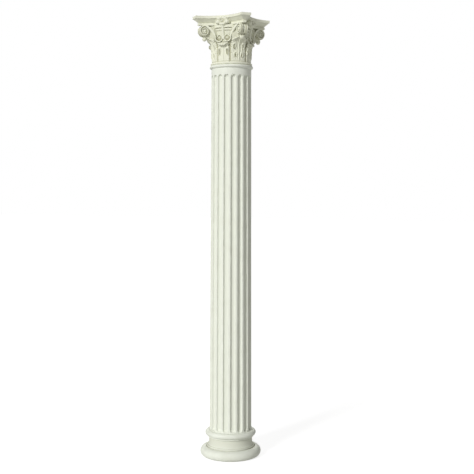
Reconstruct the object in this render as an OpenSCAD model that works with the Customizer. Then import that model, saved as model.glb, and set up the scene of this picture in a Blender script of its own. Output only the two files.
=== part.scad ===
// A slender fluted column in three castings: a round base, a fluted shaft and a
// leafy capital under a square, hollow-sided top slab. They stack face to face.
// Millimetres. Z is up, the origin is under the middle of the base, and the four
// sides of the capital face X and Y.

/* [Base] */
// Height of the thick bottom roll
foot_roll_h = 55; // [35:1:75]
// Reach of the bottom roll from the centre line
foot_roll_r = 167.5; // [155:0.5:185]
// Height of the flat band on the bottom roll
low_band_h = 7; // [4:0.5:12]
// Reach of the flat band on the bottom roll
low_band_r = 131; // [127:0.5:137]
// Height of the hollow between the two rolls
hollow_h = 48; // [30:1:60]
// Reach of the hollow at its narrowest
hollow_r = 119; // [114:0.5:123]
// Height of the thin band under the top roll
high_band_h = 6; // [3:0.5:10]
// Reach of the thin band under the top roll
high_band_r = 127; // [124:0.5:132]
// Height of the top roll
top_roll_h = 30; // [20:1:36]
// Reach of the top roll
top_roll_r = 139.7; // [134:0.1:148]

/* [Shaft] */
// Height of the shaft with its neck and its collar roll
shaft_h = 1998; // [900:1:2800]
// Radius of the shaft at its foot
shaft_foot_r = 116; // [108:0.5:122]
// Radius of the shaft at its neck
shaft_neck_r = 108.6; // [90:0.1:109]
// Height of the plain neck above the flutes
neck_h = 37; // [20:1:80]
// Height of the collar roll that ends the shaft
collar_h = 17; // [12:0.5:24]
// Reach of the collar roll
collar_r = 118; // [114:0.5:124]
// Number of flutes
flute_count = 18; // [12:2:20]
// Width of a flute at its top
flute_w_top = 28.5; // [18:0.5:29]
// Width of a flute at its foot
flute_w_foot = 30.5; // [18:0.5:31]
// Depth of a flute below the face of the shaft
flute_depth = 13; // [6:0.5:13]
// Plain face left between the foot of a flute and the base
flute_foot_gap = 3; // [2:0.5:30]

/* [Capital] */
// Height of the capital
capital_h = 256; // [230:1:310]
// Height of the ring that the leaves stand on
ring_h = 14; // [10:0.5:20]
// Reach of that ring
ring_r = 113; // [110:0.5:117]
// Radius of the bell behind the leaves
bell_r = 104; // [98:0.5:107]
// Height above the ring at which the bell starts to flare
flare_h = 80; // [60:1:90]
// Radius of the lip of the bell, under the top slab
lip_r = 117; // [114:0.5:124]
// Height of the lip of the bell
lip_h = 20; // [12:0.5:24]
// Height of the roll under the lip
lip_roll_h = 12; // [8:0.5:14]
// Set-back of that roll from the lip
lip_roll_in = 3; // [1:0.5:6]

/* [Leaves] */
// Height of the four leaves on the sides, above the ring
side_leaf_h = 98; // [80:1:106]
// Reach of the curled tips of the side leaves
side_leaf_r = 128; // [124:0.5:140]
// Half of the angle that a side leaf covers; the corner leaves fill the rest
side_leaf_angle = 20; // [18:0.5:25]
// Height of the four leaves on the corners, above the ring
corner_leaf_h = 136; // [112:1:140]
// Reach of the curled tips of the corner leaves
corner_leaf_r = 166; // [150:0.5:172]
// Face of the leaves, measured from the centre line
leaf_face_r = 108; // [107:0.5:113]
// Gap between the feet of neighbouring leaves
leaf_gap = 3; // [2:0.5:8]
// Half of the width of a side leaf at its tip
side_tip_w = 33; // [15:1:36]
// Half of the width of a corner leaf at its tip
corner_tip_w = 13; // [7:1:16]

/* [Scrolls] */
// Radius of a corner scroll
volute_r = 31; // [22:0.5:34]
// Reach of the corner scrolls along the diagonal
volute_reach = 191; // [180:0.5:202]
// How far the corner scrolls reach up into the top slab
volute_sink = 1; // [0.5:0.5:4]
// Width of the strap of the corner scrolls
strap_w = 19; // [12:0.5:24]
// Thickness of the strap of the corner scrolls
strap_t = 6; // [4:0.5:8]
// Groove between the middles of the two scrolls of a corner
volute_groove = 12; // [8:0.5:20]
// Angle by which each corner scroll turns in to meet its neighbour
volute_turn_in = 9; // [0:1:15]
// Radius of the small inner scrolls on each side
helix_r = 26; // [18:0.5:28]
// Height of the middle of the inner scrolls, below the top slab
helix_drop = 68; // [60:0.5:80]
// Distance of the middle of an inner scroll from the middle of its side
helix_off = 23; // [22:0.5:30]
// How far the inner scrolls stand out from the bell
helix_out = 8; // [8:0.5:20]

/* [Top slab] */
// Height of the slab
slab_h = 48; // [40:1:60]
// Side of the square that the slab fills
slab_side = 344; // [320:1:380]
// Width of the cut corners
slab_corner_w = 56.5; // [40:0.5:70]
// Distance from the centre line to the middle of each hollow side
slab_mid = 122; // [118:0.5:140]
// Height of the plain band at the top of the slab
slab_top_band_h = 14; // [10:0.5:20]
// Height of the plain band at the bottom of the slab
slab_low_band_h = 12; // [8:0.5:16]
// Set-back of the bottom band from the top band
slab_low_band_in = 22; // [12:0.5:26]
// Set-back of the hollow moulding where it is deepest
slab_cove_in = 26; // [16:0.5:30]
// Width of the flower on each side of the slab
flower_w = 84; // [40:1:96]
// Height of the flower
flower_h = 50; // [36:1:54]
// How far the flower stands out from the hollow side
flower_out = 11; // [6:0.5:16]

/* [Hidden] */

base_h = foot_roll_h + low_band_h + hollow_h + high_band_h + top_roll_h;
shaft_z = base_h;
capital_z = shaft_z + shaft_h;
column_h = capital_z + capital_h;

// ---------------------------------------------------------------- base

// Half of a roll: a half round of the given height that reaches out to r
module roll(r, z, h) {
    translate([r - h / 2, z + h / 2]) circle(d = h, $fn = 96);
}

// Flat band or core: a block from the centre line out to r
module band(r, z, h) {
    translate([0, z]) square([r, h]);
}

module base() {
    low_band_z = foot_roll_h;
    hollow_z = low_band_z + low_band_h;
    high_band_z = hollow_z + hollow_h;
    top_roll_z = high_band_z + high_band_h;
    // The hollow is a quarter round from the low band up to its narrowest line,
    // and a shorter return under the high band.
    lower_cut_r = low_band_r - hollow_r;
    return_r = high_band_r - hollow_r;
    steps = 10;
    sweep = [for (i = [0:steps]) 90 * i / steps];
    lower_h = hollow_h - return_r;
    hollow = concat(
        [[0, hollow_z]],
        [for (a = sweep) [low_band_r - lower_cut_r * sin(a), hollow_z + lower_h * (1 - cos(a))]],
        [for (a = sweep) [hollow_r + return_r * (1 - cos(a)), hollow_z + lower_h + return_r * sin(a)]],
        [[0, high_band_z]]);
    color("ivory") rotate_extrude($fn = 144) {
        band(foot_roll_r - foot_roll_h / 2, 0, foot_roll_h);
        roll(foot_roll_r, 0, foot_roll_h);
        band(low_band_r, low_band_z, low_band_h);
        polygon(hollow);
        band(high_band_r, high_band_z, high_band_h);
        band(top_roll_r - top_roll_h / 2, top_roll_z, top_roll_h);
        roll(top_roll_r, top_roll_z, top_roll_h);
    }
}

// --------------------------------------------------------------- shaft

// Radius of the round cutter that leaves a flute of width w on a shaft of radius r
function cutter_r(w, r) =
    let (rise = r - sqrt(r * r - w * w / 4), sag = flute_depth - rise)
    (w * w / 4 + sag * sag) / (2 * sag);

// One flute: a long round-ended cutter that leans with the taper of the shaft. The poles of
// its two balls point across the face of the shaft, clear of the edges that it leaves there
module flute() {
    neck_z = shaft_h - collar_h;
    foot_cut = cutter_r(flute_w_foot, shaft_foot_r);
    top_cut = cutter_r(flute_w_top, shaft_neck_r);
    foot_z = flute_foot_gap + flute_w_foot / 2;
    top_z = neck_z - neck_h - flute_w_top / 2;
    foot_x = shaft_foot_r - flute_depth + foot_cut;
    top_x = shaft_neck_r - flute_depth + top_cut;
    lean = atan2(top_x - foot_x, top_z - foot_z);
    long = norm([top_x - foot_x, top_z - foot_z]);
    translate([foot_x, 0, foot_z]) rotate([0, lean, 0]) {
        cylinder(h = long, r1 = foot_cut, r2 = top_cut, $fn = 48);
        rotate([0, -90, 0]) sphere(r = foot_cut, $fn = 48);
        translate([0, 0, long]) rotate([0, 90, 0]) sphere(r = top_cut, $fn = 48);
    }
}

module shaft() {
    neck_z = shaft_h - collar_h;
    pitch = 360 / flute_count;
    color("ivory") translate([0, 0, shaft_z]) difference() {
        rotate_extrude($fn = 144) {
            polygon([[0, 0], [shaft_foot_r, 0], [shaft_neck_r, neck_z], [0, neck_z]]);
            band(collar_r - collar_h / 2, neck_z, collar_h);
            roll(collar_r, neck_z, collar_h);
        }
        // The plain strip between two flutes, and not a flute, faces along Y
        for (i = [0:flute_count - 1])
            rotate([0, 0, 90 + (i + 0.5) * pitch]) flute();
    }
}

// ------------------------------------------------------------- capital

// A closed skin through rings of points, each ring with as many points
module skin(rings) {
    n = len(rings[0]);
    m = len(rings);
    walls = [for (j = [0:m - 2], i = [0:n - 1])
        [j * n + i, (j + 1) * n + i, (j + 1) * n + (i + 1) % n, j * n + (i + 1) % n]];
    first_cap = [for (i = [0:n - 1]) i];
    last_cap = [for (i = [n - 1:-1:0]) (m - 1) * n + i];
    polyhedron(points = [for (ring = rings) each ring], faces = concat([first_cap], walls, [last_cap]));
}

slab_z = capital_h - slab_h;

// Middle of the long edge of a cut corner of the slab, from the centre line
slab_corner_r = (slab_side - slab_corner_w / sqrt(2)) / sqrt(2);
// Half of a hollow side of the slab, and the radius of its curve
slab_half = slab_side / 2 - slab_corner_w / sqrt(2);
slab_curve_r = (slab_half * slab_half + pow(slab_side / 2 - slab_mid, 2)) / (slab_side - 2 * slab_mid);

// Angle, seen from the middle of its curve, at which a side set back by s meets the cut corner
function side_end(s) =
    let (
        reach = slab_curve_r + s,
        line = slab_corner_r - s,
        off = (slab_mid + slab_curve_r) / sqrt(2) - line)
    acos(off / reach) - 45;

// Outline of the slab when every edge is set back by s, at height z
function slab_ring(s, z, steps = 7) = [
    for (side = [0:3], i = [0:steps])
    let (
        a = side_end(s) * (2 * i / steps - 1),
        reach = slab_curve_r + s,
        out = slab_mid + slab_curve_r - reach * cos(a),
        along = reach * sin(a),
        turn = 90 * side)
    [out * cos(turn) - along * sin(turn), out * sin(turn) + along * cos(turn), z]];

// Top slab: a plain band, a hollow moulding and a narrower plain band
module slab() {
    cove_foot_z = slab_z + slab_low_band_h;
    cove_top_z = capital_h - slab_top_band_h;
    // Set-back of the cove at its top, and the small steps under and over it
    cove_top_in = 4;
    foot_step = 1;
    top_step = 0.5;
    steps = 3;
    skin(concat(
        [slab_ring(slab_low_band_in, slab_z), slab_ring(slab_low_band_in, cove_foot_z)],
        [for (i = [0:steps])
            let (a = 90 * i / steps)
            slab_ring(
                cove_top_in + (slab_cove_in - cove_top_in) * cos(a),
                cove_foot_z + foot_step + (cove_top_z - cove_foot_z - foot_step) * (1 - cos(a)))],
        [slab_ring(0, cove_top_z + top_step), slab_ring(0, capital_h)]));
}

// The bell flares from flare_z up to the roll under its lip
flare_z = ring_h + flare_h;
lip_z = slab_z - lip_h;
roll_z = lip_z - lip_roll_h;
lip_step = 4;
// How late the bell flares; 1 would be a straight cone
flare_power = 1.6;
// How far pieces of one casting reach into each other
lap = 1;
flare_r = lip_r - lip_roll_in - lip_step;

// Radius of the bell at height z
function bell_at(z) =
    bell_r + (flare_r - bell_r) * pow(max(0, z - flare_z) / (roll_z - flare_z), flare_power);

// Bell: a drum that flares up to a roll and a round lip, on the ring that carries the leaves
module bell() {
    steps = 4;
    edge = ring_h / 4;
    groove = 1.5;
    rotate_extrude($fn = 36) polygon(concat(
        [[0, 0], [ring_r - edge, 0], [ring_r, edge], [ring_r, ring_h - edge]],
        [[ring_r - edge, ring_h], [bell_r, ring_h]],
        [for (i = [0:steps])
            let (z = flare_z + (roll_z - flare_z) * i / steps)
            [bell_at(z), z]],
        [[lip_r - lip_roll_in, roll_z + groove], [lip_r - lip_roll_in, lip_z - groove]],
        [[flare_r, lip_z], [lip_r, lip_z + groove], [lip_r, slab_z + lap], [0, slab_z + lap]]));
}

// Middle line of a leaf, as [reach, height, lean] from its foot to its rolled tip: upright, then
// leaning out along a wide curve, then rolled over along a tight one
function leaf_path(top, reach, lean, curl_r, upright_steps = 3, lean_steps = 4, curl_steps = 4) =
    let (
        inner_r = curl_r - leaf_t,
        wide_r = (reach - curl_r - leaf_face_r - inner_r * cos(lean)) / (1 - cos(lean)),
        bend_z = top - curl_r - (wide_r - inner_r) * sin(lean),
        curl_x = leaf_face_r + wide_r * (1 - cos(lean)) + inner_r * cos(lean),
        curl_z = bend_z + (wide_r - inner_r) * sin(lean),
        foot_z = ring_h - leaf_foot_in)
    concat(
        [for (i = [0:upright_steps - 1])
            [leaf_face_r, foot_z + (bend_z - foot_z) * i / upright_steps, 0]],
        [for (i = [0:lean_steps - 1])
            let (a = lean * i / lean_steps)
            [leaf_face_r + wide_r * (1 - cos(a)), bend_z + wide_r * sin(a), a]],
        [for (i = [0:curl_steps])
            let (a = lean + (leaf_roll - lean) * i / curl_steps)
            [curl_x - inner_r * cos(a), curl_z + inner_r * sin(a), a]]);

// Relief across a leaf, as [share of the half width, height]: rim, lobe, furrow and midrib
leaf_relief = [[-1, -2], [-0.75, 2], [-0.35, 0], [0, 5], [0.35, 0], [0.75, 2], [1, -2]];
leaf_t = 5;
leaf_lobes = 3;
// How far the foot of a leaf reaches into the ring, and the angle to which its tip is rolled
leaf_foot_in = 2;
leaf_roll = 200;
// Share of a leaf below which it does not narrow, and the depth of its scallops
leaf_even = 0.25;
leaf_scallop = 0.12;
// How much of the relief is lost at the tip, and the width of the back against the front
leaf_fade = 0.6;
leaf_back = 0.7;

// The lean of each kind of leaf below its curl, the radius of the curl, and how late the leaf
// narrows to its tip
side_leaf_lean = 18;
side_curl_r = 9.5;
side_leaf_keep = 1.5;
corner_leaf_lean = 68;
corner_curl_r = 12;
corner_leaf_keep = 3;

// One leaf, wrapped round the bell. Its edge is scalloped and it narrows to its tip.
module leaf(top, reach, lean, curl_r, half_angle, tip_w, keep) {
    path = leaf_path(top, reach, lean, curl_r);
    last = len(path) - 1;
    foot_w = half_angle * PI / 180 * leaf_face_r - leaf_gap / 2;
    skin([
        for (j = [0:last])
        let (
            v = j / last,
            taper = pow(max(0, v - leaf_even) / (1 - leaf_even), keep),
            swing = (1 + cos(360 * leaf_lobes * v / (1 - leaf_even))) / 2,
            scallop = 1 - leaf_scallop * (1 - taper) * swing,
            w = (foot_w + (tip_w - foot_w) * taper) * scallop,
            rise = 1 - leaf_fade * taper,
            front = [for (p = leaf_relief) [w * p[0], rise * p[1]]],
            back = [[leaf_back * w, -leaf_t], [-leaf_back * w, -leaf_t]],
            lean_j = path[j][2])
        [for (p = concat(front, back))
            let (
                r = path[j][0] + p[1] * cos(lean_j),
                a = p[0] / path[j][0] * 180 / PI)
            [r * cos(a), r * sin(a), path[j][1] - p[1] * sin(lean_j)]]]);
}

// Corner scrolls lie beside the diagonal; the inner scrolls lie flat on the sides
volute_z = slab_z + volute_sink - volute_r;
helix_z = slab_z - helix_drop;
helix_face = bell_at(helix_z) + helix_out;

// Turns of each spiral, and the share of its radius that is left at the eye
volute_turns = 1.6;
volute_end = 0.4;
helix_turns = 1.3;
helix_end = 0.42;
// How strongly the strap leaves the corner scroll outwards and arrives at the inner scroll downwards
strap_pull_out = 22;
strap_pull_down = 20;
// Share of its thickness that the strap loses at each eye, and gains between the scrolls
eye_thinning = 0.35;
strap_swell = 1.1;
// How far the back of the strap reaches into the bell, and how far the eye of the inner scroll dishes
strap_sink = 15;
helix_dish = 4;

// Point at angle a on a spiral about c that opens along the level direction e
function spiral_at(c, e, r, a) = c + r * cos(a) * e + r * sin(a) * [0, 0, 1];

// Point at share t of a curve that leaves p for q and arrives at s from w
function bend_at(p, q, w, s, t) =
    pow(1 - t, 3) * p + 3 * t * pow(1 - t, 2) * q + 3 * t * t * (1 - t) * w + t * t * t * s;

// Scroll on one half of the side that faces +X: from the eye of the corner scroll round and out,
// down the side as a strap, and round into the eye of the inner scroll. Each station is
// [place, direction of the width, reach to the front, reach to the back, thickness].
function scroll_path(volute_steps = 15, strap_steps = 5, helix_steps = 8) =
    let (
        diagonal = [cos(45), sin(45), 0],
        aside = [cos(45), -sin(45), 0],
        inward = [cos(45 + volute_turn_in), sin(45 + volute_turn_in), 0],
        outward = [cos(volute_turn_in - 45), sin(volute_turn_in - 45), 0],
        eye = (volute_reach - volute_r) * diagonal + (strap_w + volute_groove) / 2 * aside
            + [0, 0, volute_z],
        half_w = strap_w / 2,
        helix_eye = [helix_face - half_w, helix_off, helix_z],
        mid_r = volute_r - strap_t / 2,
        helix_mid_r = helix_r - strap_t / 2,
        start = spiral_at(eye, inward, mid_r, 90),
        helix_start = 10,
        end = spiral_at(helix_eye, [0, 1, 0], helix_mid_r, helix_start))
    concat(
        [for (i = [0:volute_steps - 1])
            let (share = 1 - i / volute_steps)
            [spiral_at(eye, inward, mid_r * pow(volute_end, share), 90 - 360 * volute_turns * share),
                outward, half_w, half_w, strap_t * (1 - eye_thinning * share)]],
        [for (i = [0:strap_steps])
            let (share = i / strap_steps)
            [bend_at(start, start - strap_pull_out * inward, end + [0, 0, strap_pull_down], end, share),
                outward + share * ([1, 0, 0] - outward),
                half_w, half_w + strap_sink * share, strap_t * (1 + strap_swell * sin(180 * share))]],
        [for (i = [1:helix_steps])
            let (share = i / helix_steps)
            [spiral_at(helix_eye, [0, 1, 0], helix_mid_r * pow(helix_end, share),
                    helix_start - 360 * helix_turns * share),
                [1, 0, 0], half_w - helix_dish * share, half_w + strap_sink,
                strap_t * (1 - eye_thinning * share)]]);

// The whole scroll: a flat strap swept along its path
module scroll() {
    path = scroll_path();
    last = len(path) - 1;
    skin([
        for (j = [0:last])
        let (
            ahead = path[min(j + 1, last)][0] - path[max(j - 1, 0)][0],
            up = cross(ahead, path[j][1]),
            n = up / norm(up) * path[j][4] / 2,
            across = cross(up, ahead),
            b = across / norm(across),
            front = path[j][0] + b * path[j][2],
            back = path[j][0] - b * path[j][3])
        [front - n, front + n, back + n, back - n]]);
}

// Solid behind the two scrolls of a corner, from the bell out to their eyes. It fills the corner
// between the slab and the back of the leaf below.
web_half_w = 36;
web_foot = 42;
web_in = 20;
web_set_back = 7;

module corner_web() {
    depth = 2 * strap_w + volute_groove - 2 * web_set_back;
    eye_x = volute_reach - volute_r;
    end = 10;
    foot_z = volute_z - volute_r - web_foot;
    hull() {
        translate([eye_x, 0, volute_z])
            rotate([90, 0, 0]) cylinder(r = volute_r - strap_t, h = depth, center = true, $fn = 20);
        translate([bell_r - web_in, -web_half_w, foot_z]) cube([end, 2 * web_half_w, slab_z - foot_z + lap]);
        translate([eye_x, -depth / 2, volute_z]) cube([end, depth, slab_z - volute_z + lap]);
    }
}

// Flower: its lobes, and how far its edge dips between them
flower_lobes = 5;
petal_dip = 0.12;
// Rings of the flower from its rim to its cup: [share of its size, share of its stand-out]
flower_rings = [[0.95, 0.4], [1, 0.8], [0.8, 1], [0.35, 0.6]];
// The back of the flower, behind the cove: its share of the size, and its depth past the cove
flower_back = 0.75;
flower_back_in = 4;
bud_foot_r = 8;
bud_r = 6;

// Flower on the middle of a side of the slab: a lobed cup with a round bud
module flower() {
    steps = 15;
    z = capital_h - slab_top_band_h / 4 - flower_h / 2;
    ring = function (share, out) [
        for (i = [0:steps - 1])
        let (a = 360 * i / steps, r = share * (1 - petal_dip * (1 - sin(flower_lobes * a)) / 2))
        [out, r * flower_w / 2 * cos(a), z + r * flower_h / 2 * sin(a)]];
    skin(concat(
        [ring(flower_back, slab_mid - slab_cove_in - flower_back_in)],
        [for (f = flower_rings) ring(f[0], slab_mid + flower_out * f[1])]));
    hull() {
        translate([slab_mid, 0, z]) sphere(r = bud_foot_r, $fn = 10);
        translate([slab_mid + flower_out, 0, z]) sphere(r = bud_r, $fn = 10);
    }
}

// Stalk that rises between the inner scrolls to the flower
stalk_foot_r = 6;
stalk_head_r = 7;

module stalk() {
    hull() {
        translate([lip_r, 0, slab_z]) sphere(r = stalk_head_r, $fn = 8);
        translate([bell_at(helix_z), 0, helix_z]) sphere(r = stalk_foot_r, $fn = 8);
    }
}

module capital() {
    color("ivory") translate([0, 0, capital_z]) union() {
        bell();
        slab();
        for (side = [0:3]) rotate([0, 0, 90 * side]) {
            leaf(ring_h + side_leaf_h, side_leaf_r, side_leaf_lean, side_curl_r,
                side_leaf_angle, side_tip_w, side_leaf_keep);
            scroll();
            mirror([0, 1, 0]) scroll();
            flower();
            stalk();
            rotate([0, 0, 45]) {
                leaf(ring_h + corner_leaf_h, corner_leaf_r, corner_leaf_lean, corner_curl_r,
                    45 - side_leaf_angle, corner_tip_w, corner_leaf_keep);
                corner_web();
            }
        }
    }
}

base();
shaft();
capital();
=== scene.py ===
"""A slender fluted column in three castings: a round base, a fluted shaft and a leafy capital.

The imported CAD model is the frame. Every piece is a surface worked out here as a function of two
parameters, in metres, and stands in the place of the plain CAD node that it names.
"""
import math
from collections import namedtuple

import bpy
import numpy as np
from bpy.props import FloatProperty, IntProperty, PointerProperty, StringProperty
from mathutils import Matrix, Vector


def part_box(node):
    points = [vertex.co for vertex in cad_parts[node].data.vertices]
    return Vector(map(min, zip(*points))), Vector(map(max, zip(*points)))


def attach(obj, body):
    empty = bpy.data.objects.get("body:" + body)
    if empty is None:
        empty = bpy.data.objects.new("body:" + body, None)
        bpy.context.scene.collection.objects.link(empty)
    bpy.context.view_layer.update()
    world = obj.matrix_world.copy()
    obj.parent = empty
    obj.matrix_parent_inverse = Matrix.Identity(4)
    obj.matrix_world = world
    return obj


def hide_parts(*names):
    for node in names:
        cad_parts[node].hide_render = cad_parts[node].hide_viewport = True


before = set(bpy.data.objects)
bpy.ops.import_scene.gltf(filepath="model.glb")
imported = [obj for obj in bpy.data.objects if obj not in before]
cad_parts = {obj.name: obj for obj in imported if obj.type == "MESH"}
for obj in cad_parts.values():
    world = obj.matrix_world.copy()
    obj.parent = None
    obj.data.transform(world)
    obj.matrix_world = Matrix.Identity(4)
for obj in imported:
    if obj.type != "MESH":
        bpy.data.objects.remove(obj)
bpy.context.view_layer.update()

bl_info = {
    "name": "Fluted column",
    "version": (1, 0, 0),
    "blender": (4, 5, 0),
    "location": "View3D > Sidebar > Column",
    "description": "Builds a cast column with a fluted shaft and a leafy capital",
    "category": "Add Mesh",
}

BASE_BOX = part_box("base")
SHAFT_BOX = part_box("shaft")
CAPITAL_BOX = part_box("capital")
FLOOR_Z = BASE_BOX[0][2]
SHAFT_Z = BASE_BOX[1][2]
CAPITAL_Z = SHAFT_BOX[1][2]
TOP_Z = CAPITAL_BOX[1][2]
FOOT_REACH = (BASE_BOX[1][0] - BASE_BOX[0][0]) / 2
SLAB_SIDE = CAPITAL_BOX[1][0] - CAPITAL_BOX[0][0]
MM = 0.001
QUARTER = math.pi / 2
UP = np.array([0.0, 0.0, 1.0])
FACING = np.array([1.0, 0.0, 0.0])  # out of the side of the capital that is worked out
SIDEWAYS = np.array([0.0, 1.0, 0.0])
PIN_R = 0.02  # reach at which the flat ends of turned pieces start, inside every other piece


def length(name, mm, description):
    """A length property whose default is given in millimetres."""
    return FloatProperty(name=name, description=description, default=mm * MM, min=0.0, unit="LENGTH",
                         precision=4)


def angle(name, degrees, description):
    """An angle property whose default is given in degrees."""
    return FloatProperty(name=name, description=description, default=math.radians(degrees), subtype="ANGLE")


def number(name, value, description):
    """A plain number."""
    return FloatProperty(name=name, description=description, default=value)


def count(name, value, description):
    """A whole number."""
    return IntProperty(name=name, description=description, default=value, min=1)


def paint(name, hex_value, description):
    """A colour written as sRGB hex."""
    return StringProperty(name=name, description=description, default=hex_value)


# ------------------------------------------------------------------ settings


class ColumnBaseSizes(bpy.types.PropertyGroup):
    """Sizes of the round base."""

    foot_roll_h: length("Bottom roll", 55, "Height of the thick bottom roll")
    low_band_h: length("Low band", 7, "Height of the flat band on the bottom roll")
    low_band_r: length("Low band reach", 131, "Reach of that band from the centre line")
    hollow_r: length("Hollow reach", 119, "Reach of the hollow at its narrowest")
    high_band_h: length("High band", 6, "Height of the thin band under the top roll")
    high_band_r: length("High band reach", 127, "Reach of that band from the centre line")
    top_roll_h: length("Top roll", 30, "Height of the top roll")
    top_roll_r: length("Top roll reach", 139.7, "Reach of the top roll")
    quirk_w: length("Quirk width", 4, "Width of the small groove between the low band and the bottom roll")
    quirk_h: length("Quirk depth", 3, "Depth of that groove")
    rim_w: length("Rim width", 3, "Width of the small rim on top of the low band")
    rim_h: length("Rim height", 1.5, "How far that rim stands above the foot of the hollow")
    soft_r: length("Soft corners", 0.8, "Rounding that the coat leaves on every corner")


class ColumnShaftSizes(bpy.types.PropertyGroup):
    """Sizes of the fluted shaft."""

    foot_r: length("Foot radius", 116, "Radius of the shaft at its foot")
    neck_r: length("Neck radius", 108.6, "Radius of the shaft at its neck")
    neck_h: length("Neck", 37, "Height of the plain neck above the flutes")
    collar_h: length("Collar", 17, "Height of the collar roll")
    collar_r: length("Collar reach", 118, "Reach of the collar roll")
    flutes: count("Flutes", 18, "Number of flutes")
    flute_w_top: length("Flute width, top", 28.5, "Width of a flute at its top")
    flute_w_foot: length("Flute width, foot", 30.5, "Width of a flute at its foot")
    flute_depth: length("Flute depth", 13, "Depth of a flute below the face of the shaft")
    foot_gap: length("Foot gap", 3, "Plain face left under the flutes")
    edge_drop: length("Worn edge", 0.5, "How far the edges of the flutes are rubbed down")
    edge_r: length("Worn edge reach", 1.6, "How far in from an edge that wear fades out")


class ColumnCapitalSizes(bpy.types.PropertyGroup):
    """Sizes of the bell, the leaves and the scrolls."""

    ring_h: length("Ring", 14, "Height of the ring that the leaves stand on")
    ring_r: length("Ring reach", 113, "Reach of that ring")
    bell_r: length("Bell radius", 104, "Radius of the bell behind the leaves")
    flare_h: length("Flare height", 80, "Height above the ring at which the bell starts to flare")
    lip_r: length("Lip reach", 117, "Radius of the lip of the bell")
    lip_h: length("Lip", 16, "Height of the lip of the bell")
    lip_roll_h: length("Lip roll", 15, "Height of the roll under the lip")
    lip_roll_in: length("Lip roll set-back", 3, "Set-back of that roll from the lip")
    leaf_face_r: length("Leaf face", 108, "Reach of the face of the leaves at their foot")
    leaf_t: length("Leaf thickness", 5, "Thickness of the free part of a leaf")
    leaf_gap: length("Leaf gap", 3, "Gap between the feet of neighbouring leaves")
    side_angle: angle("Side leaf angle", 20, "Half of the angle that a side leaf covers")
    side_h: length("Side leaf height", 98, "Height of the side leaves above the ring")
    side_reach: length("Side leaf reach", 128, "Reach of their curled tips")
    side_tip_w: length("Side leaf tip", 33, "Half of the width of a side leaf at its tip")
    side_lean: angle("Side leaf lean", 18, "Angle by which a side leaf leans out before its tip rolls over")
    side_curl_r: length("Side leaf roll", 9.5, "Radius of the rolled tip of a side leaf")
    corner_h: length("Corner leaf height", 136, "Height of the corner leaves above the ring")
    corner_reach: length("Corner leaf reach", 166, "Reach of their curled tips")
    corner_tip_w: length("Corner leaf tip", 13, "Half of the width of a corner leaf at its tip")
    corner_lean: angle("Corner leaf lean", 68, "Angle by which a corner leaf leans out in the same way")
    corner_curl_r: length("Corner leaf roll", 12, "Radius of the rolled tip of a corner leaf")
    volute_r: length("Corner scroll radius", 31, "Radius of a corner scroll")
    volute_reach: length("Corner scroll reach", 191, "Reach of the corner scrolls along the diagonal")
    volute_sink: length("Corner scroll sink", 1, "How far the corner scrolls reach up into the slab")
    volute_groove: length("Corner groove", 12, "Gap between the straps of the two scrolls of a corner")
    volute_turn_in: angle("Turn-in", 9, "Angle by which a corner scroll turns in to meet its neighbour")
    volute_turns: number("Corner scroll turns", 1.6, "Turns of a corner scroll")
    volute_end: number("Corner scroll end", 0.40, "Radius of its inner end, as a share of the outer one")
    volute_eye_r: length("Corner eye", 10.5, "Radius of the eye in a corner scroll")
    strap_w: length("Strap width", 19, "Width of the strap of the scrolls")
    strap_t: length("Strap thickness", 6, "Thickness of the strap of the scrolls")
    strap_pull_out: length("Strap pull, corner", 22, "How far it runs straight on from a corner scroll")
    strap_pull_down: length("Strap pull, side", 20, "How far it comes straight down on an inner scroll")
    strap_deepen: length("Strap deepening", 16, "How much deeper it grows on its way to the inner scroll")
    strap_swell: number("Strap swell", 1.1, "Extra thickness halfway along the strap, as a share")
    eye_thinning: number("Thinning", 0.35, "How much thinner the strap gets towards an eye, as a share")
    helix_r: length("Inner scroll radius", 26, "Radius of the small inner scrolls")
    helix_drop: length("Inner scroll drop", 68, "Height of their middles below the slab")
    helix_off: length("Inner scroll offset", 23, "Distance of their middles from the middle of a side")
    helix_out: length("Inner scroll stand-out", 8, "How far they stand out from the bell")
    helix_turns: number("Inner scroll turns", 1.0, "Turns of an inner scroll")
    helix_end: number("Inner scroll end", 0.60, "Radius of its inner end, as a share of the outer one")
    helix_sink: length("Inner scroll sink", 4, "How far the strap sinks back on its way to the inner eye")
    helix_eye_r: length("Inner eye", 8.5, "Radius of the eye in an inner scroll")
    web_foot: length("Web foot", 42, "Depth below the corner scrolls of the foot of the solid behind them")
    web_w: length("Web width", 42, "Half of the width of that solid at the bell")


class ColumnSlabSizes(bpy.types.PropertyGroup):
    """Sizes of the top slab and its flowers."""

    height: length("Height", 48, "Height of the slab")
    corner_w: length("Cut corner", 56.5, "Width of the cut corners")
    mid: length("Side middle", 122, "Distance from the centre line to the middle of a hollow side")
    top_band_h: length("Top band", 14, "Height of the plain band at the top")
    low_band_h: length("Bottom band", 12, "Height of the plain band at the bottom")
    low_band_in: length("Bottom band set-back", 22, "Set-back of the bottom band from the top band")
    slope_foot_in: length("Slope foot", 26, "Set-back of the sloping moulding at its foot")
    slope_head_in: length("Slope head", 4, "Set-back of that moulding at its head")
    flower_w: length("Flower width", 84, "Width of the flower on each side")
    flower_h: length("Flower height", 50, "Height of that flower")
    flower_out: length("Flower stand-out", 11, "How far the flower stands out from the hollow side")
    petals: count("Petals", 5, "Number of petals of the flower")
    stalk_foot_r: length("Stalk foot", 7, "Radius of the flower's stalk at its foot")
    stalk_head_r: length("Stalk head", 9, "Radius of the stalk under its bulb")
    bulb_out: length("Bulb", 3, "How far the bulb at the head of the stalk swells")


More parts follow.
